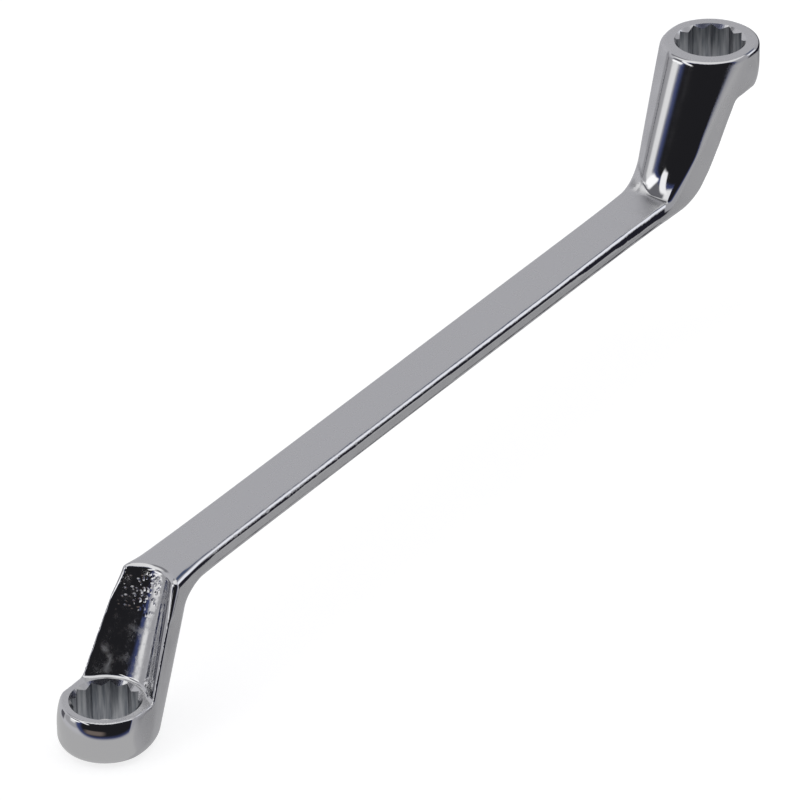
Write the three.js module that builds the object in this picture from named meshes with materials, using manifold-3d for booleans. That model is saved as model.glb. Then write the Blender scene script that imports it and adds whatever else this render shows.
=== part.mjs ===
// Swan neck spanner: a double-ended ring spanner with two deep-offset twelve-point rings.
// The small ring lies below the shank, the large ring above it, so the neck bends form a stretched Z.
// The forging is one body of steel, modelled as five zones that meet face to face on flat sections.
// X runs along the shank, Y across it and Z along both bore axes; Z = 0 is the small ring's lower face.

import * as THREE from 'three';
import { mergeVertices } from 'three/addons/utils/BufferGeometryUtils.js';
import Module from 'manifold-3d';

// Driving dimensions, in millimetres and degrees; the trough's breadth is its ratio to a round one
const AXIS_SPACING = 182;
const SMALL_ACROSS_FLATS = 10;
const SMALL_RING_DIAMETER = 16;
const SMALL_RING_HEIGHT = 8;
const SMALL_DROP = 13.6;
const SMALL_CREST_EDGE = 1;
const LARGE_ACROSS_FLATS = 11;
const LARGE_RING_DIAMETER = 17.6;
const LARGE_RING_HEIGHT = 8.2;
const LARGE_DROP = 13.9;
const LARGE_CREST_EDGE = 4.5;
const SHANK_WIDTH = 9.2;
const SHANK_THICKNESS = 3.5;
const SHANK_EDGE = 0.9;
const TAPER_LENGTH = 16.6;
const TAPER_BLEND = 4;
const INNER_FACE_ANGLE = 63;
const INNER_FACE_RADIUS = 6.2;
const INNER_BEND_RADIUS = 3;
const TROUGH_ANGLE = 61;
const TROUGH_MOUTH_MARGIN = 0.5;
const TROUGH_BREADTH = 1.1;
const TROUGH_CREST_RADIUS = 5.1;
const CHEEK_SETBACK = 2.8;
const RING_OUTER_EDGE = 1.4;
const RING_NECK_EDGE = 0.8;
const LEAD_IN = 0.26;
const BEND_LAND = 2.4;

// Facet counts, the overlap that keeps cutters clear of the faces they cut, and two tolerances
const POINTS_PER_BORE = 12;
const RING_FACETS = 72;
const EDGE_FACETS = 4;
const FACE_FACETS = 14;
const FLANK_FACETS = 5;
const OVERCUT = 1;
const MERGE_DISTANCE = 1e-4;
const SOLVE_DISTANCE = 1e-6;

const wasm = await Module();
wasm.setup();

const radians = THREE.MathUtils.degToRad;
const lerp = THREE.MathUtils.lerp;
const count = (n) => Array.from({ length: n + 1 }, (_, i) => i / n);

// A solid from a closed three.js geometry
function solid(geometry) {
  const bare = geometry.index ? geometry.toNonIndexed() : geometry.clone();
  bare.deleteAttribute('normal');
  bare.deleteAttribute('uv');
  const merged = mergeVertices(bare, MERGE_DISTANCE);
  return new wasm.Manifold(new wasm.Mesh({
    numProp: 3,
    vertProperties: new Float32Array(merged.attributes.position.array),
    triVerts: new Uint32Array(merged.index.array),
  }));
}

// A closed skin over level sections of equal point count, each drawn from its -v side round to its
// mirror image on the +v side, so that the caps are strips between mirrored points
function loft(sections) {
  const size = sections[0].length;
  const triangles = [];
  for (let row = 0; row < sections.length - 1; row += 1) {
    for (let i = 0; i < size; i += 1) {
      const a = row * size + i;
      const b = row * size + (i + 1) % size;
      triangles.push(a, b, b + size, a, b + size, a + size);
    }
  }
  const last = (sections.length - 1) * size;
  for (let i = 0; 2 * i < size - 2; i += 1) {
    const j = size - 1 - i;
    triangles.push(j, i + 1, i, last + i, last + i + 1, last + j);
    if (i + 1 < j - 1) {
      triangles.push(j, j - 1, i + 1, last + i + 1, last + j - 1, last + j);
    }
  }
  const geometry = new THREE.BufferGeometry().setFromPoints(sections.flat());
  geometry.setIndex(triangles);
  return geometry;
}

// A revolved solid about Z, from a profile of [radius, height] pairs that starts and ends on the axis
function revolve(profile) {
  const points = profile.map(([radius, height]) => new THREE.Vector2(radius, height));
  return new THREE.LatheGeometry(points, RING_FACETS).rotateX(Math.PI / 2);
}

// A quarter round from the angle start to the angle end, about a centre
function quarter(centreX, centreY, radius, start, end) {
  return count(EDGE_FACETS).map((t) => {
    const angle = radians(lerp(start, end, t));
    return [centreX + radius * Math.cos(angle), centreY + radius * Math.sin(angle)];
  });
}

// Each end is shaped in its own frame: u runs from the ring axis to the shank, v across,
// and h from the ring's far face to the shank. The large end is the same frame turned over.
function ringEnd(acrossFlats, diameter, height, drop, crestEdge) {
  const radius = diameter / 2;
  const half = SHANK_WIDTH / 2;
  const reach = Math.hypot(TAPER_LENGTH, half);
  const points = acrossFlats / 2 / Math.cos(Math.PI / 6);
  return {
    points,
    corners: acrossFlats / 2 / Math.cos(Math.PI / 12),
    mouth: points + LEAD_IN,
    radius,
    height,
    crestEdge,
    underside: height + drop,
    top: height + drop + SHANK_THICKNESS,
    taper: Math.asin(radius / reach) - Math.atan2(half, TAPER_LENGTH),
  };
}

const small = ringEnd(
  SMALL_ACROSS_FLATS, SMALL_RING_DIAMETER, SMALL_RING_HEIGHT, SMALL_DROP, SMALL_CREST_EDGE,
);
const large = ringEnd(
  LARGE_ACROSS_FLATS, LARGE_RING_DIAMETER, LARGE_RING_HEIGHT, LARGE_DROP, LARGE_CREST_EDGE,
);
const smallAxis = -(AXIS_SPACING + large.radius - small.radius) / 2;
const largeAxis = smallAxis + AXIS_SPACING;
const totalHeight = small.top + large.underside;
const toSmall = new THREE.Matrix4().makeTranslation(smallAxis, 0, 0);
const toLarge = new THREE.Matrix4().makeTranslation(largeAxis, 0, totalHeight)
  .multiply(new THREE.Matrix4().makeRotationY(Math.PI));

// Half the width in plan: the ring's circle, the flat flank tangent to it, then the shank
function halfWidth(end, u) {
  const half = SHANK_WIDTH / 2;
  if (u < end.radius * Math.sin(end.taper)) {
    return Math.sqrt(end.radius ** 2 - u ** 2);
  }
  if (u < TAPER_LENGTH - TAPER_BLEND) {
    return (end.radius - u * Math.sin(end.taper)) / Math.cos(end.taper);
  }
  const left = Math.max(TAPER_LENGTH + TAPER_BLEND - u, 0);
  return half + Math.tan(end.taper) * left ** 2 / (4 * TAPER_BLEND);
}

// The ring as a plain disc with a rounded rim on both faces
function ringDisc(end) {
  const outer = RING_OUTER_EDGE;
  const inner = RING_NECK_EDGE;
  return revolve([
    [0, 0],
    ...quarter(end.radius - outer, outer, outer, -90, 0),
    ...quarter(end.radius - inner, end.height - inner, inner, 0, 90),
    [0, end.height],
  ]);
}

// How far the convex inner face falls back at a distance v from its middle
function fallBack(v, radius) {
  return radius - Math.sqrt(radius ** 2 - v ** 2);
}

// One level outline of the neck: flank, eased crease, convex inner face and back along the far flank
function neckSection(end, { h, apex, inset, ease }) {
  const arc = Math.max(lerp(end.radius, INNER_FACE_RADIUS, h / end.underside), SHANK_WIDTH / 2);
  const width = (u) => Math.min(halfWidth(end, u) - inset, arc);
  let crease = 0;
  for (let step = apex / 2; step > SOLVE_DISTANCE; step /= 2) {
    if (crease + step < apex - inset - fallBack(width(crease + step), arc)) {
      crease += step;
    }
  }
  const flankEnd = crease - ease;
  const faceEnd = width(crease) - SHANK_EDGE;
  const flank = count(FLANK_FACETS).map((t) => [flankEnd * t, -width(flankEnd * t)]);
  const face = count(FACE_FACETS).map((t) => {
    const v = faceEnd * (2 * t - 1);
    return [apex - inset - fallBack(v, arc), v];
  });
  const farFlank = flank.map(([u, v]) => [u, -v]).reverse();
  return [...flank, ...face, ...farFlank].map(([u, v]) => new THREE.Vector3(u, v, h));
}

// The neck: level outlines that lean from the ring's far rim up to the shank's underside,
// with a rounded rim at the bottom and the bend's fillet at the top
function neckBody(end) {
  const lean = radians(INNER_FACE_ANGLE);
  const onFace = (h) => end.radius + h / Math.tan(lean);
  const rim = count(EDGE_FACETS).map((t) => {
    const turn = t * Math.PI / 2;
    const h = RING_OUTER_EDGE * (1 - Math.cos(turn));
    return { h, apex: onFace(h), inset: RING_OUTER_EDGE * (1 - Math.sin(turn)), ease: SHANK_EDGE };
  });
  const bendStart = end.underside - INNER_BEND_RADIUS * (1 - Math.cos(lean));
  const straight = count(EDGE_FACETS).slice(1).map((t) => {
    const h = lerp(RING_OUTER_EDGE, bendStart, t);
    return { h, apex: onFace(h), inset: 0, ease: SHANK_EDGE };
  });
  const centre = onFace(bendStart) + INNER_BEND_RADIUS * Math.sin(lean);
  const bend = count(EDGE_FACETS).slice(1).map((t) => {
    const turn = lean * (1 - t);
    const rise = INNER_BEND_RADIUS * Math.cos(turn);
    const back = INNER_BEND_RADIUS * Math.sin(turn);
    return {
      h: end.underside - INNER_BEND_RADIUS + rise,
      apex: centre - back,
      inset: 0,
      ease: Math.sqrt((INNER_BEND_RADIUS + SHANK_EDGE) ** 2 - rise ** 2) - back,
    };
  });
  const seat = { h: end.underside + SHANK_EDGE, apex: centre, inset: 0, ease: 0 };
  return loft([...rim, ...straight, ...bend, seat].map((level) => neckSection(end, level)));
}

// What is cut away above the ring: a leaning, tapering trough in line with the bore, and everything
// in front of the two cheeks beside it; it flares at the top to round the crest at the shank
function troughCutter(end) {
  const lean = radians(TROUGH_ANGLE);
  const side = end.radius + OVERCUT;
  const ahead = (h) => (h - end.height) / Math.tan(lean);
  const roundStart = end.top - end.crestEdge * (1 - Math.cos(lean));
  const centre = ahead(roundStart) + end.crestEdge * Math.sin(lean);
  const crest = count(EDGE_FACETS).map((t) => {
    const turn = lean * (1 - t);
    return {
      h: end.top - end.crestEdge * (1 - Math.cos(turn)),
      shift: centre - end.crestEdge * Math.sin(turn),
    };
  });
  const levels = [{ h: end.height, shift: 0 }, ...crest, { h: end.top + OVERCUT, shift: centre }];
  return loft(levels.map(({ h, shift }) => {
    const share = (h - end.height) / (end.top - end.height);
    const radius = lerp(end.mouth + TROUGH_MOUTH_MARGIN, TROUGH_CREST_RADIUS, share);
    const reach = Math.acos(CHEEK_SETBACK / radius);
    const nose = count(FACE_FACETS).map((t) => {
      const angle = lerp(-reach, reach, t);
      return [shift + radius * Math.cos(angle), TROUGH_BREADTH * radius * Math.sin(angle)];
    });
    const front = shift + CHEEK_SETBACK;
    const outline = [[-OVERCUT, -side], [front, -side], ...nose, [front, side], [-OVERCUT, side]];
    return outline.map(([u, v]) => new THREE.Vector3(u, v, h));
  }));
}

// The twelve-point broach and the two cones that lead into it
function boreCutters(end) {
  const star = new THREE.Shape(Array.from({ length: 2 * POINTS_PER_BORE }, (_, i) => {
    const angle = i * Math.PI / POINTS_PER_BORE;
    const radius = i % 2 === 0 ? end.points : end.corners;
    return new THREE.Vector2(radius * Math.cos(angle), radius * Math.sin(angle));
  }));
  const depth = end.height + 2 * OVERCUT;
  const broach = new THREE.ExtrudeGeometry(star, { depth, bevelEnabled: false });
  const wide = end.mouth + OVERCUT;
  const above = end.height + OVERCUT;
  const low = revolve([[0, -OVERCUT], [wide, -OVERCUT], [0, end.mouth]]);
  const high = revolve([[0, end.height - end.mouth], [wide, above], [0, above]]);
  return [broach.translate(0, 0, -OVERCUT), low, high];
}

// The shank: a flat bar with rounded edges whose ends widen into the necks
function shankBar() {
  const edge = (end, place) => {
    const blend = count(EDGE_FACETS).map((t) => TAPER_LENGTH + TAPER_BLEND * (2 * t - 1));
    const stations = [end.radius * Math.sin(end.taper), ...blend];
    return stations.map((u) => new THREE.Vector2(place(u), halfWidth(end, u)));
  };
  const far = [...edge(small, (u) => smallAxis + u), ...edge(large, (u) => largeAxis - u).reverse()];
  const near = far.map((p) => new THREE.Vector2(p.x, -p.y));
  const bar = new THREE.ExtrudeGeometry(new THREE.Shape([...near, ...far.reverse()]), {
    depth: SHANK_THICKNESS - 2 * SHANK_EDGE,
    bevelSize: SHANK_EDGE,
    bevelOffset: -SHANK_EDGE,
    bevelThickness: SHANK_EDGE,
    bevelSegments: EDGE_FACETS,
  });
  return bar.translate(0, 0, small.underside + SHANK_EDGE);
}

// The whole forging
function forging() {
  let body = solid(shankBar());
  const ends = [[small, toSmall], [large, toLarge]];
  for (const [end, place] of ends) {
    body = body.add(solid(neckBody(end).applyMatrix4(place)));
    body = body.subtract(solid(troughCutter(end).applyMatrix4(place)));
    body = body.add(solid(ringDisc(end).applyMatrix4(place)));
    for (const cutter of boreCutters(end)) {
      body = body.subtract(solid(cutter.applyMatrix4(place)));
    }
  }
  return body;
}

// A block between two corners, whose faces lie exactly on the given coordinates
function block(low, high) {
  const geometry = new THREE.BoxGeometry(1, 1, 1);
  const position = geometry.attributes.position;
  for (let i = 0; i < position.count; i += 1) {
    const corner = [position.getX(i), position.getY(i), position.getZ(i)];
    position.setXYZ(i, ...corner.map((value, axis) => (value < 0 ? low[axis] : high[axis])));
  }
  return geometry;
}

// Where the zones meet: level sections at the rings, upright sections past the tapers
const neckReach = TAPER_LENGTH + TAPER_BLEND + BEND_LAND;
const west = smallAxis - SMALL_RING_DIAMETER;
const east = largeAxis + LARGE_RING_DIAMETER;
const side = Math.max(SMALL_RING_DIAMETER, LARGE_RING_DIAMETER);
const floor = -OVERCUT;
const ceiling = totalHeight + OVERCUT;
const smallCut = smallAxis + neckReach;
const largeCut = largeAxis - neckReach;
const smallRingTop = small.height;
const largeRingBottom = totalHeight - large.height;

const MIRROR_CHROME = { color: 0xc8c9cc, roughness: 0.1, metalness: 1 };
const SATIN_CHROME = { color: 0xb4b5b9, roughness: 0.32, metalness: 1 };
const zones = [
  ['small_ring', [west, -side, floor], [smallCut, side, smallRingTop], MIRROR_CHROME],
  ['small_neck', [west, -side, smallRingTop], [smallCut, side, ceiling], MIRROR_CHROME],
  ['shank', [smallCut, -side, floor], [largeCut, side, ceiling], SATIN_CHROME],
  ['large_neck', [largeCut, -side, floor], [east, side, largeRingBottom], MIRROR_CHROME],
  ['large_ring', [largeCut, -side, largeRingBottom], [east, side, ceiling], MIRROR_CHROME],
];

const body = forging();
const spanner = new THREE.Group();
for (const [name, low, high, finish] of zones) {
  const { numProp, vertProperties, triVerts } = body.intersect(solid(block(low, high))).getMesh();
  const geometry = new THREE.BufferGeometry();
  geometry.setAttribute('position', new THREE.BufferAttribute(vertProperties, numProp));
  geometry.setIndex(new THREE.BufferAttribute(triVerts, 1));
  const mesh = new THREE.Mesh(geometry, new THREE.MeshStandardMaterial(finish));
  mesh.name = name;
  spanner.add(mesh);
}

export default spanner;
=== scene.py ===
"""Looks of the swan neck spanner: one seamless chrome skin over the five zones of the forging,
with broached bores, on a pale studio floor."""

import math

import bpy
import numpy as np
from mathutils import Matrix, Vector


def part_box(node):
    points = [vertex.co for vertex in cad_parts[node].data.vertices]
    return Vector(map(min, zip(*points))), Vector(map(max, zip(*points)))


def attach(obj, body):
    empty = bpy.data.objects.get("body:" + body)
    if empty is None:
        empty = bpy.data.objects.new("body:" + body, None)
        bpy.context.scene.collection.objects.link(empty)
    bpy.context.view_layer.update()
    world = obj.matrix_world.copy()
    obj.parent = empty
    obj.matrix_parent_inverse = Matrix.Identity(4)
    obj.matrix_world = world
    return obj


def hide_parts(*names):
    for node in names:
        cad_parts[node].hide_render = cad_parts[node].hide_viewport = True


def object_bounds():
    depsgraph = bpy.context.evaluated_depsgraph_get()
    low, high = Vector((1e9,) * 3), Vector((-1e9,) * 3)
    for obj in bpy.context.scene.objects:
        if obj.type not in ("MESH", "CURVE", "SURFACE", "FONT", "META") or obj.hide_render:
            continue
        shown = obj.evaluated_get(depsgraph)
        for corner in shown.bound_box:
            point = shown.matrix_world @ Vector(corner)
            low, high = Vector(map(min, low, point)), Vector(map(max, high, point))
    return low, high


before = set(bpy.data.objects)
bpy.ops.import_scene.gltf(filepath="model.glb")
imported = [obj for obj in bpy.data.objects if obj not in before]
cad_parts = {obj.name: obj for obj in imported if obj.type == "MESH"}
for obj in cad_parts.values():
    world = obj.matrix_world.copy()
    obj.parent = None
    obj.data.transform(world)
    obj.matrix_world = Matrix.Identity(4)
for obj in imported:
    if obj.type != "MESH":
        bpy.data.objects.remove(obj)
cad_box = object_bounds()

# Shapes are worked out in millimetres and turned into metres at the end
MM = 0.001

# The grid that finds the skin: close at the ends and wider apart along the shank. Its margin is also
# how far the broaches and the far cones stand out of the rings
GRID = 0.3
SHANK_GRID = 1.5
SHANK_INSET = 2
MARGIN = 1.2
SLOPE_STEP = 1e-3
LEAST_SLOPE = 0.05
LEAST_SHIFT = 1e-9
SETTLING_ROUNDS = 3

# Edges and fillets that both ends share
SHANK_EDGE = 0.9
NECK_EDGE = 0.45
CORNER_EDGE = 1.4
BOSS_EDGE = 0.8
CHEEK_EDGE = 1.2
ROOT_FILLET = 0.5
CREASE = 0.15
SHOULDER_WIDTH = 1.1
SHOULDER_HEIGHT = 4.4

# Forms that both ends share: angles in degrees, narrowings, skew and overruns as shares
FLANK_END = 1.5
BOSS_OVERRUN = 1.1
TROUGH_OVERRUN = (-0.2, 1.2)
TROUGH_NARROWING = 0.91
ARCH_NARROWING = 0.88
ARCH_HEIGHT = 8
STRIP_START = 27
STRIP_ANGLE = 40
STRIP_STEP = 0.15
BOSS_SIDE_ANGLE = 70
SWEEP_RADIUS = 14
SWEEP_SKEW = 0.8

# Where edges and fillets change over, as from and to: along from the ring axis, along from the end of
# the taper, up from the shank's face that the trough runs out on, and aside from the boss's crease
SHOULDER_ALONG = (1.5, -4.5)
FOOT_ALONG = (14, 22)
FOOT_END_ALONG = (60, 26)
SHANK_PAST_TAPER = (-4, 4)
CORNER_PAST_TAPER = (5, -1)
CORNER_FROM_TOP = (-7, -1)
BEND_ASIDE = (-4, 2.4)

# The bores: LEAD_IN is what the cones' mouths have over the points, and LEAD_RISE how far the near cones
# stand out of the rings
POINTS_PER_BORE = 12
LEAD_IN = 0.2
LEAD_RISE = 0.3
LEAD_FACETS = 96
CONE_TIP = 0.1

# Sizes of each end: angles in degrees, the ring's satin as a share, the rest in millimetres
SMALL_END = {
    "across_flats": 10, "taper": 16.8, "blend": 4.5,
    "trough_angle": 58.25, "trough_radius": 6.55, "crest_radius": 4.2, "crest_edge": 0.8,
    "cheek": 3.0, "cheek_angle": 60.5, "face_angle": 62.9, "face_radius": 6.0,
    "far_edge": 2.1, "foot": 2.5, "bend": 2.5, "sweep_depth": 16, "ring_satin": 0.3,
    "upper_edge": 1.35, "lower_edge": 0.9, "foot_edge": 0.9,
}
LARGE_END = {
    "across_flats": 11, "taper": 16.4, "blend": 6.4,
    "trough_angle": 61.1, "trough_radius": 7.1, "crest_radius": 5.1, "crest_edge": 3.6,
    "cheek": 3.8, "cheek_angle": 61.1, "face_angle": 63.6, "face_radius": 6.5,
    "far_edge": 0.95, "foot": 0.2, "bend": 3.5, "sweep_depth": 10, "ring_satin": 0.9,
    "upper_edge": 0.9, "lower_edge": 1.35, "foot_edge": 2.2,
}

# Reaches of the finishes, and of the crease's painted shade, about the surfaces that they lie on, in
# millimetres
LOWER_REACH = 0.2
FLANK_REACH = 0.15
CREASE_REACH = 0.2
TROUGH_REACH = 0.3

# Ground faces, from polished to satin: by the upright share of the normal, along from the ring axis,
# aside from the crease, in front of the boss, inside the plan, and by degrees round the boss
LEVEL_FACE = (0.97, 0.995)
PLUMB_FACE = (0.12, 0.04)
STEEP_FACE = (0.6, 0.4)
RING_ALONG = (0, 7)
STRIP_ASIDE = (-0.1, 0.3)
STRIP_INSIDE = (-0.2, -0.6)
FILLET_AHEAD = (0.02, 0.1)
FILLET_INSIDE = (-0.7, -1.0)
FLANK_ROUND_BOSS = (52, 56)

# The painted shade in the crease of the boss: it ends inside the plan, and thins out aside
CREASE_INSIDE = (-0.2, -0.8)
CREASE_THINNING = 4
CREASE_LAP = 1

# The trough's wall above the ring, its pits below the shank's face, and the shank's worn edges
TROUGH_RISE = (0, 1)
PITS_FROM_TOP = (-9, -4)
PITS_END_FROM_TOP = (-0.8, -1.6)
PITS_ASIDE = (-2.6, -1)
NICKS_PAST_TAPER = (4, 10)
NICKS_OFF_LEVEL = (0.995, 0.9)
NICKS_OFF_PLUMB = (0.02, 0.2)

# The run of plating down the trough's wall: it leans, sways and widens as it rises
RUN_ASIDE = 3.6
RUN_LEAN = 0.25
RUN_SWAY = 0.25
RUN_WAVES = 1.7
RUN_WIDTH = 0.35
RUN_WIDENING = 0.04
RUN_RISE = (7.5, 3)

# The plate: tones, with a darker one painted into the boss's crease as shade, roughness, and the depths of
# its relief in millimetres
PLATE_TONE = (0.6, 0.6, 0.61, 1)
# Painted shade: the dark tone laid into the crease beside and under the boss
PAINTED_CREASE_SHADE_TONE = (0.1, 0.1, 0.11, 1)
PLATE_ROUGHNESS = (0.05, 0.27)
HAZE_ROUGHNESS = (0, 0.42)
RUN_ROUGHNESS = (0.2, 0.6)
LEAD_ROUGHNESS = 0.15
GRAIN_DEPTH = 0.0006
STREAK_DEPTH = 0.03
PIT_DEPTH = 0.11
NICK_DEPTH = 0.12

# The plate's patterns: scales by metre, the lean of both necks in degrees, and the levels that count
CLOUD_SCALE = 260
GRAIN_SCALE = 4500
PATCH_SCALE = 420
SPECK_SCALE = 1250
STREAK_SCALES = (520, 520, 45)
NECK_LEAN = 29
CLOUD_LEVELS = (0.3, 0.7)
CLOUD_SHARE = (0.8, 1.2)
HAZE_LEVELS = (0.43, 0.72)
RUN_LEVELS = (0.3, 0.6)
SPECK_LEVELS = (0.1, 0.5)

# The bores' bare steel
BROACH_SCALES = (1500, 1500, 120)
BROACH_LEVELS = (0.35, 0.7)
BROACH_TONES = ((0.2, 0.215, 0.24, 1), (0.55, 0.56, 0.58, 1))
BROACH_ROUGHNESS = (0.3, 0.55)

# The floor, in metres
FLOOR_REACH = 4
FLOOR_GLOW = 0.75
FLOOR_TONE = (0.5, 0.5, 0.5, 1)

# The studio, in the directions that the spanner's faces mirror: azimuth to the right of the camera's own
# from, to; elevation from, to; its rise by degree of azimuth; softness of the rounded borders; colour.
# Later patches lie over earlier ones
LEFT_WALL = (0.7, 0.7, 0.73, 1)
RIGHT_WALL = (0.5, 0.5, 0.525, 1)
STUDIO_PATCHES = [
    ((-400, 400), (-150, -20), 0, 0.05, (0.62, 0.62, 0.62)),  # floor
    ((80, 190), (-70, -18), 0, 0.2, (0.51, 0.51, 0.52)),  # floor's darker right
    ((-155, -118), (42, 74), 0, 0.2, (0.3, 0.3, 0.32)),  # grey sheet behind, high on the left
    ((40, 150), (48, 90), 0, 0.12, (1.1, 1.1, 1.1)),  # high lamp on the right
    ((-400, 400), (65, 115), 0, 0.08, (1.1, 1.1, 1.1)),  # ceiling
    ((-126, -56), (46, 74), 0, 0.3, (1.2, 1.2, 1.2)),  # high lamp on the left
    ((-107, -62), (-12, 27), 0, 0.12, (0.5, 0.5, 0.52)),  # grey sheet on the left
    ((-125, -109), (-16, 12), 0, 0.2, (0.14, 0.14, 0.16)),  # dark post beside it
    ((-98, -56), (24, 49), 0, 0.12, (0.2, 0.2, 0.22)),  # dark sheet above it
    ((-71, 68), (-20, 65), 0, 0.06, (0.07, 0.09, 0.22)),  # blue border of the front
    ((-60, 60), (-17, 62), 0, 0.1, (0.02, 0.02, 0.023)),  # black front
    ((-46, -4), (-14, -4), 0, 0.4, (0.22, 0.18, 0.16)),  # warm glow low in the front
    ((97, 170), (-27, 6), 0, 0.05, (0.02, 0.02, 0.03)),  # black sheet low on the right
    ((119, 156), (34, 47), 0, 0.25, (0.1, 0.13, 0.22)),  # blue sheet on the right
    ((-89, -74), (2, 24), 0, 0.35, (1.1, 1.1, 1.1)),  # soft lamp on the left
    ((-93, -66), (16, 30), 0.22, 0.2, (1.6, 1.6, 1.6)),  # rising lamp over it
    ((-80, -42), (32.5, 44.5), -0.5, 0.2, (1.4, 1.4, 1.4)),  # falling lamp beside the front
    ((98, 120), (8, 31), 0, 0.15, (1.25, 1.27, 1.35)),  # lamp on the right
]

# The photograph's camera, from its fit to the spanner's outline
CAMERA_AZIMUTH = -55.15
CAMERA_ELEVATION = 30.83
CAMERA_ROLL = -0.95
CAMERA_DISTANCE = 1.0312
CAMERA_TARGET = Vector((-0.00764, 0, 0.02176))
CAMERA_LENS = 275.6
CAMERA_CLIP = 20


def soft_union(a, b, radius):
    """The union of two fields, with a fillet of that radius where they meet."""
    gap_a = np.maximum(radius - a, 0)
    gap_b = np.maximum(radius - b, 0)
    return np.maximum(radius, np.minimum(a, b)) - np.hypot(gap_a, gap_b)


def soft_cut(a, b, radius):
    """What two fields share, with an edge rounded to that radius."""
    gap_a = np.maximum(radius + a, 0)
    gap_b = np.maximum(radius + b, 0)
    return np.minimum(-radius, np.maximum(a, b)) + np.hypot(gap_a, gap_b)


def soft_max(a, b, width):
    """The greater of two values, with a soft change from one to the other."""
    return (a + b + np.hypot(a - b, width)) / 2


def smooth_step(low, high, value):
    """0 at the low value and 1 at the high one, level at both."""
    t = np.clip((value - low) / (high - low), 0, 1)
    return t * t * (3 - 2 * t)


def mix(low, high, share):
    return low + (high - low) * share


def near(distance, reach):
    """1 on a surface, and almost nothing two reaches away from it."""
    return np.exp(-(distance / reach) ** 2)


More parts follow.
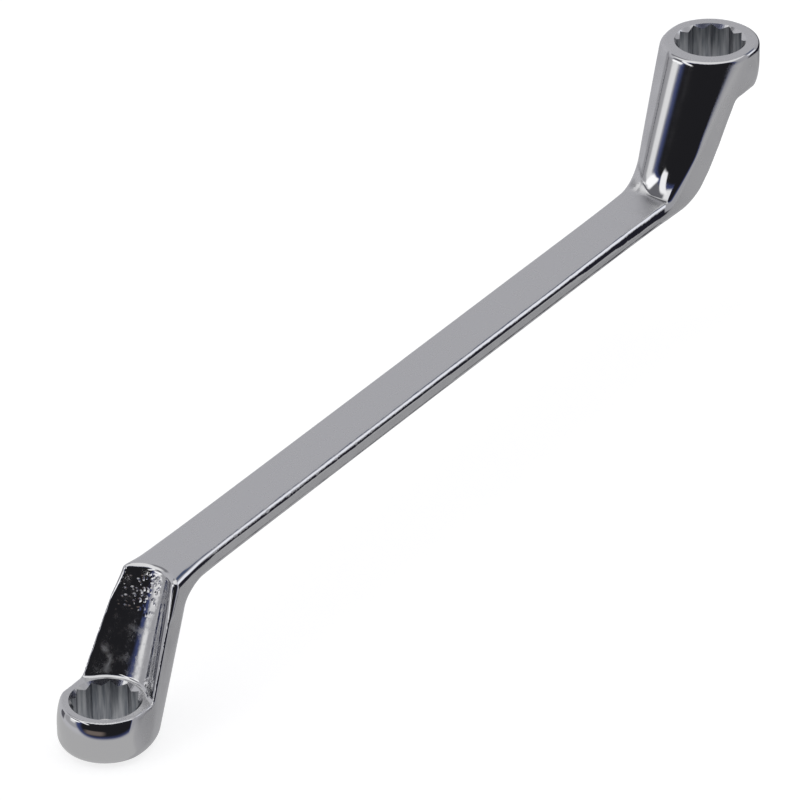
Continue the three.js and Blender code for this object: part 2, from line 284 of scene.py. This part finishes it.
class End:
    """One end in its own frame: u runs from the ring axis to the shank, v across,
    and h from the ring's far face to the shank."""

    def __init__(self, ring_node, sign, sizes):
        for name, size in sizes.items():
            setattr(self, name, size)
        ring_low, ring_high = (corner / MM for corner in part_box(ring_node))
        shank_low, shank_high = (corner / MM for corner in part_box("shank"))
        self.sign = sign
        self.radius = (ring_high.y - ring_low.y) / 2
        self.height = ring_high.z - ring_low.z
        self.axis_x = ring_low.x + self.radius if sign > 0 else ring_high.x - self.radius
        self.far_z = ring_low.z if sign > 0 else ring_high.z
        self.half_width = (shank_high.y - shank_low.y) / 2
        self.underside = shank_low.z - self.far_z if sign > 0 else self.far_z - shank_high.z
        self.top = self.underside + shank_high.z - shank_low.z
        self.trough_slope = math.tan(math.radians(self.trough_angle))
        self.cheek_slope = math.tan(math.radians(self.cheek_angle))
        self.face_slope = math.tan(math.radians(self.face_angle))
        reach = math.hypot(self.taper, self.half_width)
        self.flank = math.asin(self.radius / reach) - math.atan2(self.half_width, self.taper)

    def local(self, x, y, z):
        """A place of the shared frame in the end's own."""
        return self.sign * (x - self.axis_x), y, self.sign * (z - self.far_z)

    def plan(self, u, v):
        """Outside the teardrop of the ring's circle, its two tangent flanks and the shank."""
        line = (self.radius - u * math.sin(self.flank)) / math.cos(self.flank)
        width = soft_max(line, self.half_width, self.blend * math.sin(self.flank))
        lean = self.flank * np.clip(FLANK_END - u / self.taper, 0, 1)
        side = (np.abs(v) - width) * np.cos(lean)
        return np.where(u < self.radius * math.sin(self.flank), np.hypot(u, v) - self.radius, side)

    def arc(self, u, h):
        """The radius of the convex boss at a level, and how far a point lies in front of its centre."""
        share = np.clip(h / self.underside, 0, BOSS_OVERRUN)
        radius = mix(self.radius, self.face_radius, share)
        return radius, u - (self.radius + h / self.face_slope - radius)

    def face(self, u, v, h):
        """In front of the convex boss that leans from the ring's far rim up to the shank, in front of
        the flat strip ground beside it, and how far to that strip's side of the crease between them."""
        radius, ahead = self.arc(u, h)
        lean = math.hypot(1, 1 / self.face_slope)
        start = math.radians(STRIP_START)

        def flat(angle, inset):
            a = math.radians(angle)
            return (ahead * math.cos(a) + v * math.sin(a) - radius * math.cos(a - start) + inset) / lean

        front = (np.hypot(np.maximum(ahead, 0), v) - radius) / lean
        deep = self.underside + self.sweep_depth + SWEEP_SKEW * v - h
        boss = soft_union(soft_cut(front, flat(BOSS_SIDE_ANGLE, 0), BOSS_EDGE), deep, SWEEP_RADIUS)
        strip = np.maximum(front, flat(STRIP_ANGLE, STRIP_STEP))
        return boss, strip, v - radius * math.sin(start)

    def trough(self, u, v, h):
        """Inside the leaning, tapering trough that runs up from the bore."""
        rise = h - self.height
        share = np.clip(rise / (self.top - self.height), *TROUGH_OVERRUN)
        radius = mix(self.trough_radius, self.crest_radius, share)
        ahead = np.maximum(u - rise / self.trough_slope, 0)
        arch = smooth_step(self.top - ARCH_HEIGHT, self.top, h)
        narrowing = mix(TROUGH_NARROWING, ARCH_NARROWING, arch)
        return (radius - np.hypot(ahead, v * narrowing)) / math.hypot(1, 1 / self.trough_slope)

    def cheeks(self, u, h):
        """In front of the leaning plane that the trough's two cheeks end on."""
        rise = h - self.height
        return (rise - self.cheek_slope * (u - self.cheek)) / math.hypot(1, self.cheek_slope)

    def lower(self, u, v, h):
        """Outside the neck's convex side, the shank's face beyond it and the ring's far face."""
        boss, strip, aside = self.face(u, v, h)
        fillet = mix(self.foot, self.bend, smooth_step(*BEND_ASIDE, aside))
        neck = soft_union(self.underside - h, soft_union(boss, strip, CREASE), fillet)
        return soft_cut(neck, -h, self.far_edge)

    def upper(self, u, v, h):
        """Outside the trough, its cheeks, the ring's near face and the shank's face beyond them."""
        pocket = soft_cut(self.trough(u, v, h), self.cheeks(u, h), CHEEK_EDGE)
        return soft_cut(soft_union(h - self.height, pocket, ROOT_FILLET), h - self.top, self.crest_edge)

    def field(self, x, y, z):
        """Below zero inside the forging, in about millimetres."""
        u, v, h = self.local(x, y, z)
        past = u - self.taper
        along = smooth_step(*SHANK_PAST_TAPER, past)
        shoulder = smooth_step(*SHOULDER_ALONG, u)
        corner = smooth_step(*CORNER_FROM_TOP, h - self.top) * smooth_step(*CORNER_PAST_TAPER, past)
        foot = smooth_step(*FOOT_END_ALONG, u) * smooth_step(*FOOT_ALONG, u)
        edge = mix(NECK_EDGE, SHANK_EDGE, along)
        width = mix(edge, SHOULDER_WIDTH, shoulder) + (CORNER_EDGE - edge) * corner
        height = mix(NECK_EDGE, self.upper_edge, along)
        height = mix(height, SHOULDER_HEIGHT, shoulder) + (CORNER_EDGE - height) * corner
        depth = mix(mix(NECK_EDGE, self.lower_edge, along), self.foot_edge, foot)
        body = soft_cut(self.plan(u, v), -h, self.far_edge)
        body = soft_cut(body / width, self.upper(u, v, h) / height, 1) * width
        return soft_cut(body / edge, self.lower(u, v, h) / depth, 1) * edge

    def on_lower(self, u, v, h):
        """How far a point lies on the neck's convex side or the faces beyond it."""
        return near(self.lower(u, v, h), LOWER_REACH)

    def satin(self, u, v, h, upright):
        """How far a point lies on a ground face and not on a polished one."""
        plan = self.plan(u, v)
        boss, _, aside = self.face(u, v, h)
        turned = np.degrees(np.arctan2(-v, self.arc(u, h)[1]))
        level = smooth_step(*LEVEL_FACE, upright)
        share = mix(self.ring_satin, 1, smooth_step(*RING_ALONG, u))
        flank = near(plan, FLANK_REACH) * smooth_step(*PLUMB_FACE, upright) * share
        strip = smooth_step(*STRIP_ASIDE, aside) * smooth_step(*STRIP_INSIDE, plan)
        fillet = smooth_step(*FILLET_AHEAD, boss) * smooth_step(*FILLET_INSIDE, plan)
        boss_flank = smooth_step(*FLANK_ROUND_BOSS, turned) * smooth_step(*STEEP_FACE, upright)
        beside = np.max([strip, fillet, boss_flank], axis=0) * self.on_lower(u, v, h)
        return np.max([level, flank, beside], axis=0)

    def crease(self, u, v, h):
        """How near a point lies to the crease beside and under the boss: the mask of its painted shade."""
        boss, strip, aside = self.face(u, v, h)
        beside = np.hypot(boss, strip) + np.abs(aside) / CREASE_THINNING
        under = np.hypot(boss, self.underside - h) + np.maximum(aside - CREASE_LAP, 0)
        inside = smooth_step(*CREASE_INSIDE, self.plan(u, v))
        return near(np.minimum(beside, under), CREASE_REACH) * inside * self.on_lower(u, v, h)

    def trough_face(self, u, v, h):
        """How far a point lies on the trough's wall."""
        return near(self.trough(u, v, h), TROUGH_REACH) * smooth_step(*TROUGH_RISE, h - self.height)

    def pits(self, v, h):
        """How far a point of the trough's wall lies in its pitted top."""
        below = h - self.top
        inside = smooth_step(*PITS_FROM_TOP, below) * smooth_step(*PITS_END_FROM_TOP, below)
        return inside * smooth_step(*PITS_ASIDE, v)

    def run(self, v, h):
        """How far a point of the trough's wall lies on the dull run of plating."""
        rise = h - self.height
        middle = RUN_ASIDE + RUN_LEAN * rise + RUN_SWAY * np.sin(RUN_WAVES * rise)
        return near(v - middle, RUN_WIDTH + RUN_WIDENING * rise) * smooth_step(*RUN_RISE, rise)

    def nicks(self, u, upright):
        """How far a point lies on the shank's worn edges."""
        rounded = smooth_step(*NICKS_OFF_LEVEL, upright) * smooth_step(*NICKS_OFF_PLUMB, upright)
        return rounded * smooth_step(*NICKS_PAST_TAPER, u - self.taper)

    def finishes_and_shade(self, x, y, z, upright):
        """Each finish, and the crease's painted shade, by name, from 0 to 1, at points of the surface and
        their normals' upright shares.
        """
        u, v, h = self.local(x, y, z)
        wall = self.trough_face(u, v, h)
        return {
            "satin": self.satin(u, v, h, upright),
            "crease": self.crease(u, v, h),
            "trough_face": wall,
            "pits": wall * self.pits(v, h),
            "run": wall * self.run(v, h),
            "nicks": self.nicks(u, upright),
        }


small = End("small_ring", 1, SMALL_END)
large = End("large_ring", -1, LARGE_END)


def forging_field(x, y, z):
    """The field of the nearer end."""
    return np.where(x < 0, small.field(x, y, z), large.field(x, y, z))


def gradient(points):
    """The field's slope at each point."""
    shifts = np.eye(3) * SLOPE_STEP
    rises = [forging_field(*(points + s).T) - forging_field(*(points - s).T) for s in shifts]
    return np.stack(rises, axis=1) / (2 * SLOPE_STEP)


def grid_axes():
    """Grid lines along X, Y and Z."""
    low, high = (np.array(corner) / MM for corner in cad_box)
    low = low - MARGIN
    high = high + MARGIN
    shank_low, shank_high = (corner.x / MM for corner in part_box("shank"))
    left = np.arange(low[0], shank_low + SHANK_INSET, GRID)
    right = np.arange(high[0], shank_high - SHANK_INSET, -GRID)[::-1]
    middle = np.linspace(left[-1], right[0], round((right[0] - left[-1]) / SHANK_GRID) + 1)
    along = np.concatenate([left, middle[1:-1], right])
    return [along, np.arange(low[1], high[1] + GRID, GRID), np.arange(low[2], high[2] + GRID, GRID)]


def surface_net(axes):
    """Points and quads around the field's zero surface: one point in each grid cell that it crosses."""
    values = forging_field(*np.meshgrid(*axes, indexing="ij", sparse=True))
    inside = values < 0
    cells = tuple(len(axis) - 1 for axis in axes)
    total = np.zeros(cells + (3,))
    hits = np.zeros(cells)
    rings = []
    for axis in range(3):
        # Grid edges along this axis that cross the surface, and where they cross it
        before = np.take(inside, range(cells[axis]), axis)
        behind = np.take(inside, range(1, cells[axis] + 1), axis)
        edges = np.argwhere(before != behind)
        across = [i for i in range(3) if i != axis]
        edges = edges[np.all([(edges[:, i] > 0) & (edges[:, i] < cells[i]) for i in across], axis=0)]
        start = tuple(edges.T)
        after = edges.copy()
        after[:, axis] += 1
        end = tuple(after.T)
        share = values[start] / (values[start] - values[end])
        points = np.stack([axes[i][edges[:, i]] for i in range(3)], axis=1)
        points[:, axis] += share * (axes[axis][after[:, axis]] - points[:, axis])
        # The four cells round each of those edges make a quad
        ring = []
        for step in ((0, 0), (-1, 0), (-1, -1), (0, -1)):
            cell = edges.copy()
            cell[:, across] += step
            np.add.at(total, tuple(cell.T), points)
            np.add.at(hits, tuple(cell.T), 1)
            ring.append(cell)
        flip = inside[start] == (axis == 1)
        rings.append((ring, flip))
    used = hits > 0
    number = np.full(cells, -1)
    number[used] = np.arange(used.sum())
    quads = []
    for ring, flip in rings:
        quad = np.stack([number[tuple(cell.T)] for cell in ring], axis=1)
        quad[flip] = quad[flip][:, ::-1]
        quads.append(quad)
    return total[used] / hits[used][:, None], np.concatenate(quads)


def settle(points):
    """Moves points onto the field's zero surface."""
    for _ in range(SETTLING_ROUNDS):
        slope = gradient(points)
        value = forging_field(*points.T)
        shift = slope * (value / np.maximum((slope ** 2).sum(axis=1), LEAST_SLOPE))[:, None]
        length = np.linalg.norm(shift, axis=1, keepdims=True)
        points = points - shift * np.minimum(1, GRID / np.maximum(length, LEAST_SHIFT))
    return points


def new_object(name, points, faces, material):
    """A mesh object from points in millimetres."""
    mesh = bpy.data.meshes.new(name)
    mesh.from_pydata([Vector(p) * MM for p in points], [], [list(map(int, face)) for face in faces])
    mesh.materials.append(material)
    obj = bpy.data.objects.new(name, mesh)
    bpy.context.scene.collection.objects.link(obj)
    return obj


def prism(rows):
    """A closed solid over rings of points, one above the other."""
    size = len(rows[0])
    points = [p for row in rows for p in row]
    faces = [list(range(size))[::-1]]
    for row in range(len(rows) - 1):
        for i in range(size):
            a = row * size + i
            b = row * size + (i + 1) % size
            faces.append([a, b, b + size, a + size])
    faces.append([(len(rows) - 1) * size + i for i in range(size)])
    return points, faces


def ring_of(end, radii, h):
    """A level ring of points about an end's bore axis."""
    turn = 2 * math.pi / len(radii)
    places = [(r * math.cos(i * turn), r * math.sin(i * turn)) for i, r in enumerate(radii)]
    return [(end.axis_x + u, v, end.far_z + end.sign * h) for u, v in places]


def circle(end, radius, h):
    return ring_of(end, [radius] * LEAD_FACETS, h)


def bore_cutters(end, steel, plate):
    """The twelve-point broach and the cones that lead into it at both mouths."""
    half = end.across_flats / 2
    point = half / math.cos(2 * math.pi / POINTS_PER_BORE)
    corner = half / math.cos(math.pi / POINTS_PER_BORE)
    mouth = point + LEAD_IN
    star = [point, corner] * POINTS_PER_BORE
    solids = [
        ("broach", steel, [ring_of(end, star, -MARGIN), ring_of(end, star, end.height + MARGIN)]),
        ("far_lead", plate, [circle(end, mouth + MARGIN, -MARGIN), circle(end, CONE_TIP, mouth - CONE_TIP)]),
        ("near_lead", plate, [circle(end, CONE_TIP, end.height - mouth + CONE_TIP),
                              circle(end, mouth + LEAD_RISE, end.height + LEAD_RISE)]),
    ]
    cutters = []
    for name, material, rows in solids:
        points, faces = prism(rows if end.sign > 0 else rows[::-1])
        cutters.append(new_object(name, points, faces, material))
    return cutters


def cut(body, cutters):
    """Takes the cutters out of a body, which keeps their materials on the cut faces."""
    for cutter in cutters:
        boolean = body.modifiers.new(cutter.name, "BOOLEAN")
        boolean.operation = "DIFFERENCE"
        boolean.solver = "MANIFOLD"
        boolean.material_mode = "TRANSFER"
        boolean.object = cutter
        evaluated = body.evaluated_get(bpy.context.evaluated_depsgraph_get())
        mesh = bpy.data.meshes.new_from_object(evaluated)
        body.modifiers.remove(boolean)
        body.data = mesh
        bpy.data.objects.remove(cutter)


def finish_surface(body):
    """Exact normals on the forged faces and plain ones in the bores, and the finishes and the crease's
    painted shade as attributes.
    """
    mesh = body.data
    points = np.empty(len(mesh.vertices) * 3)
    mesh.vertices.foreach_get("co", points)
    points = points.reshape(-1, 3) / MM
    slope = gradient(points)
    slope /= np.linalg.norm(slope, axis=1, keepdims=True)
    mesh.shade_smooth()
    normals = np.empty((len(mesh.loops), 3))
    for polygon in mesh.polygons:
        forged = polygon.material_index == 0
        for loop in polygon.loop_indices:
            normals[loop] = slope[mesh.loops[loop].vertex_index] if forged else polygon.normal
    mesh.normals_split_custom_set(normals.tolist())
    upright = np.abs(slope[:, 2])
    at_large = large.finishes_and_shade(*points.T, upright)
    for name, at_small in small.finishes_and_shade(*points.T, upright).items():
        values = np.where(points[:, 0] < 0, at_small, at_large[name])
        layer = mesh.attributes.new(name, "FLOAT", "POINT")
        layer.data.foreach_set("value", values.astype(np.float32))


def shader(name):
    """A new material, its node tree and its Principled shader."""
    material = bpy.data.materials.new(name)
    material.use_nodes = True
    tree = material.node_tree
    return material, tree, tree.nodes["Principled BSDF"]


def node(tree, kind, inputs=(), **settings):
    """A node with its settings, and its inputs as values or as sockets to link from."""
    made = tree.nodes.new(kind)
    for key, value in settings.items():
        setattr(made, key, value)
    for key, value in dict(inputs).items():
        if isinstance(value, bpy.types.NodeSocket):
            tree.links.new(value, made.inputs[key])
        else:
            made.inputs[key].default_value = value
    return made


def combine(tree, operation, *values):
    """The result of a math node."""
    return node(tree, "ShaderNodeMath", dict(enumerate(values)), operation=operation).outputs[0]


def product(tree, *values):
    result = values[0]
    for value in values[1:]:
        result = combine(tree, "MULTIPLY", result, value)
    return result


def rescale(tree, value, source=(0, 1), target=(0, 1), **settings):
    """A value moved from one range to another."""
    ends = {"From Min": source[0], "From Max": source[1], "To Min": target[0], "To Max": target[1]}
    return node(tree, "ShaderNodeMapRange", {"Value": value, **ends}, **settings).outputs[0]


def mix_colours(tree, share, a, b):
    return node(tree, "ShaderNodeMix", {"Factor": share, "A": a, "B": b}, data_type="RGBA").outputs["Result"]


def noise(tree, place, scale, detail, **others):
    inputs = {"Vector": place, "Scale": scale, "Detail": detail, **others}
    return node(tree, "ShaderNodeTexNoise", inputs).outputs["Fac"]


def stretched(tree, place, scales, lean=0):
    """A place for a texture that is stretched, and leans about Y."""
    turn = (0, math.radians(lean), 0)
    return node(tree, "ShaderNodeMapping", {"Vector": place, "Rotation": turn, "Scale": scales}).outputs[0]


def chrome():
    """Chrome plate: satin on the ground flats, mirror-like on the necks and rounded edges."""
    material, tree, bsdf = shader("chrome_plate")
    place = node(tree, "ShaderNodeTexCoord").outputs["Object"]

    def layer(name):
        return node(tree, "ShaderNodeAttribute", attribute_name=name).outputs["Fac"]

    satin = layer("satin")
    wall = layer("trough_face")
    cloud = noise(tree, place, CLOUD_SCALE, detail=4)
    grain = noise(tree, place, GRAIN_SCALE, detail=2)
    patch = noise(tree, place, PATCH_SCALE, detail=6, Roughness=0.7)
    streak = noise(tree, stretched(tree, place, STREAK_SCALES, NECK_LEAN), scale=1, detail=3)
    speck = node(tree, "ShaderNodeTexVoronoi", {"Vector": place, "Scale": SPECK_SCALE}).outputs["Distance"]

    even = rescale(tree, satin, target=PLATE_ROUGHNESS)
    rough = product(tree, even, rescale(tree, cloud, CLOUD_LEVELS, CLOUD_SHARE))
    haze = product(tree, wall, rescale(tree, patch, HAZE_LEVELS, HAZE_ROUGHNESS))
    dull = product(tree, layer("run"), rescale(tree, patch, RUN_LEVELS, RUN_ROUGHNESS))
    for extra in (haze, dull):
        rough = combine(tree, "ADD", rough, extra)
    tree.links.new(rough, bsdf.inputs["Roughness"])

    # Painted shade: the base colour darkens towards the crease beside and under the boss
    tone = mix_colours(tree, layer("crease"), PLATE_TONE, PAINTED_CREASE_SHADE_TONE)
    tree.links.new(tone, bsdf.inputs["Base Color"])

    relief = product(tree, grain, satin, GRAIN_DEPTH)
    streaks = product(tree, streak, wall, STREAK_DEPTH)
    dents = product(tree, rescale(tree, speck, SPECK_LEVELS), layer("pits"), PIT_DEPTH)
    worn = product(tree, cloud, layer("nicks"), NICK_DEPTH)
    for extra in (streaks, dents, worn):
        relief = combine(tree, "ADD", relief, extra)
    bump = node(tree, "ShaderNodeBump", {"Height": relief, "Strength": 1, "Distance": MM})
    tree.links.new(bump.outputs[0], bsdf.inputs["Normal"])
    bsdf.inputs["Metallic"].default_value = 1
    return material


def broached_steel():
    """The bare walls of the bores, streaked by the broach."""
    material, tree, bsdf = shader("broached_steel")
    place = node(tree, "ShaderNodeTexCoord").outputs["Object"]
    streak = noise(tree, stretched(tree, place, BROACH_SCALES), scale=1, detail=4)
    tone = node(tree, "ShaderNodeValToRGB", {"Fac": streak})
    for stop, level, colour in zip(tone.color_ramp.elements, BROACH_LEVELS, BROACH_TONES):
        stop.position = level
        stop.color = colour
    tree.links.new(tone.outputs["Color"], bsdf.inputs["Base Color"])
    tree.links.new(rescale(tree, streak, target=BROACH_ROUGHNESS), bsdf.inputs["Roughness"])
    bsdf.inputs["Metallic"].default_value = 1
    return material


def plated_lead():
    """The plated cones at the bores' mouths."""
    material, _, bsdf = shader("plated_lead")
    bsdf.inputs["Base Color"].default_value = PLATE_TONE
    bsdf.inputs["Roughness"].default_value = LEAD_ROUGHNESS
    bsdf.inputs["Metallic"].default_value = 1
    return material


def build_skin():
    """The whole forging as one piece, with its bores."""
    points, faces = surface_net(grid_axes())
    body = new_object("forging", settle(points), faces, chrome())
    steel = broached_steel()
    plate = plated_lead()
    cut(body, bore_cutters(small, steel, plate) + bore_cutters(large, steel, plate))
    finish_surface(body)
    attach(body, "root")
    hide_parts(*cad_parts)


def studio_direction(azimuth, elevation):
    """A direction in the studio: azimuth to the right of the camera's own, both in degrees."""
    a = math.radians(CAMERA_AZIMUTH + azimuth)
    e = math.radians(elevation)
    return Vector((math.sin(a) * math.cos(e), -math.cos(a) * math.cos(e), math.sin(e)))


def place_camera():
    """The photograph's camera."""
    back = studio_direction(0, CAMERA_ELEVATION)
    roll = Matrix.Rotation(math.radians(CAMERA_ROLL), 3, back)
    right = studio_direction(90, 0)
    up = back.cross(right)
    data = bpy.data.cameras.new("camera")
    data.lens = CAMERA_LENS
    data.clip_end = CAMERA_CLIP
    camera = bpy.data.objects.new("camera", data)
    turn = Matrix((roll @ right, roll @ up, back)).transposed().to_4x4()
    camera.matrix_world = Matrix.Translation(CAMERA_TARGET + CAMERA_DISTANCE * back) @ turn
    bpy.context.scene.collection.objects.link(camera)
    bpy.context.scene.camera = camera


def lay_floor():
    """A pale floor that shows white, and keeps the spanner's shadow."""
    mesh = bpy.data.meshes.new("floor")
    corners = [(-1, -1), (1, -1), (1, 1), (-1, 1)]
    mesh.from_pydata([(x * FLOOR_REACH, y * FLOOR_REACH, 0) for x, y in corners], [], [(0, 1, 2, 3)])
    floor = bpy.data.objects.new("floor", mesh)
    bpy.context.scene.collection.objects.link(floor)
    material = bpy.data.materials.new("pale_floor")
    material.use_nodes = True
    tree = material.node_tree
    tree.nodes.clear()
    path = node(tree, "ShaderNodeLightPath").outputs
    seen = combine(tree, "MAXIMUM", path["Is Camera Ray"], path["Is Glossy Ray"])
    seen = combine(tree, "MAXIMUM", seen, path["Is Transmission Ray"])
    glow = node(tree, "ShaderNodeEmission", {"Strength": product(tree, seen, FLOOR_GLOW)})
    matte = node(tree, "ShaderNodeBsdfDiffuse", {"Color": FLOOR_TONE})
    both = node(tree, "ShaderNodeAddShader", {0: glow.outputs[0], 1: matte.outputs[0]})
    node(tree, "ShaderNodeOutputMaterial", {"Surface": both.outputs[0]})
    mesh.materials.append(material)
    # The world's low patches carry the floor's tone for what the chrome mirrors
    floor.visible_glossy = False


def light_world():
    """The studio around the spanner: pale walls, and the patches of the list above in turn."""
    world = bpy.data.worlds.new("studio")
    bpy.context.scene.world = world
    world.use_nodes = True
    tree = world.node_tree
    way = node(tree, "ShaderNodeTexCoord").outputs["Generated"]

    def along(azimuth, elevation):
        ways = {0: way, 1: studio_direction(azimuth, elevation)}
        return node(tree, "ShaderNodeVectorMath", ways, operation="DOT_PRODUCT").outputs["Value"]

    def off_centre(value, span):
        """The fourth power of the distance from the middle of a range, 1 at its ends."""
        share = rescale(tree, value, span, (-1, 1), clamp=False)
        square = product(tree, share, share)
        return product(tree, square, square)

    def degrees(operation, *values):
        return combine(tree, "DEGREES", combine(tree, operation, *values))

    aside = along(90, 0)
    azimuth = degrees("ARCTAN2", aside, along(0, 0))
    elevation = degrees("ARCSINE", along(0, 90))
    colour = mix_colours(tree, rescale(tree, aside, (-1, 1)), LEFT_WALL, RIGHT_WALL)
    for azimuths, elevations, rise, soft, tint in STUDIO_PATCHES:
        turned = combine(tree, "SUBTRACT", azimuth, sum(azimuths) / 2)
        level = combine(tree, "SUBTRACT", elevation, product(tree, turned, rise))
        power = combine(tree, "ADD", off_centre(azimuth, azimuths), off_centre(level, elevations))
        reach = combine(tree, "POWER", power, 1 / 4)
        mask = rescale(tree, reach, (1 + soft, 1 - soft), interpolation_type="SMOOTHSTEP")
        colour = mix_colours(tree, mask, colour, tint + (1,))
    tree.links.new(colour, tree.nodes["Background"].inputs["Color"])


build_skin()
place_camera()
lay_floor()
light_world()
bpy.context.scene.view_settings.view_transform = "Standard"
